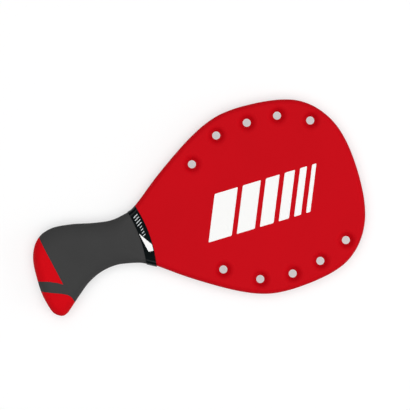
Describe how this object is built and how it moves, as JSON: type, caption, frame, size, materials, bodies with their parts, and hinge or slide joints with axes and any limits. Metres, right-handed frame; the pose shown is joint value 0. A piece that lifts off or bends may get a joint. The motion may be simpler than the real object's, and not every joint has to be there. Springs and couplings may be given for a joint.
{
  "type": "frescobol racket",
  "caption": "Moulded beach racket with a broad rounded head, drag holes along its rim, a flared pistol grip in two-colour rubber and a dark finishing tape round the throat.",
  "frame": {"origin": "under the middle of the racket's length and width, on the plane that its thickest part, the grip, rests on", "axes": "+X from the butt to the tip of the head, +Y across the face towards the heel of the grip, +Z out of the front face"},
  "size_m": [0.38, 0.2132, 0.0276],
  "materials": {
    "blade_lacquer": "satin red lacquer over a fibre laminate",
    "core_foam": "closed-cell foam, cut faces",
    "spar_laminate": "cured carbon tow",
    "cheek_foam": "dense moulded foam",
    "sleeve_rubber": "matt dark grey rubber, fine grain",
    "inlay_rubber": "matt red rubber, fine grain",
    "gloss_tape": "gloss near-black film",
    "bush_resin": "potting resin, lacquered red in the bore",
    "white_ink": "satin white screen ink",
    "silver_ink": "silver screen ink"
  },
  "bodies": {
    "root": {"front_skin": "blade_lacquer", "back_skin": "blade_lacquer", "foam_core": "core_foam", "rim_spar": "spar_laminate", "tang_core": "core_foam", "grip_cheek_front": "cheek_foam", "grip_cheek_back": "cheek_foam", "grip_sleeve": "sleeve_rubber", "heel_inlay": "inlay_rubber", "toe_cap": "inlay_rubber", "throat_tape": "gloss_tape", "hole_bush_01": "bush_resin", "hole_bush_02": "bush_resin", "hole_bush_03": "bush_resin", "hole_bush_04": "bush_resin", "hole_bush_05": "bush_resin", "hole_bush_06": "bush_resin", "hole_bush_07": "bush_resin", "hole_bush_08": "bush_resin", "hole_bush_09": "bush_resin", "hole_bush_10": "bush_resin"}
  },
  "joints": []
}
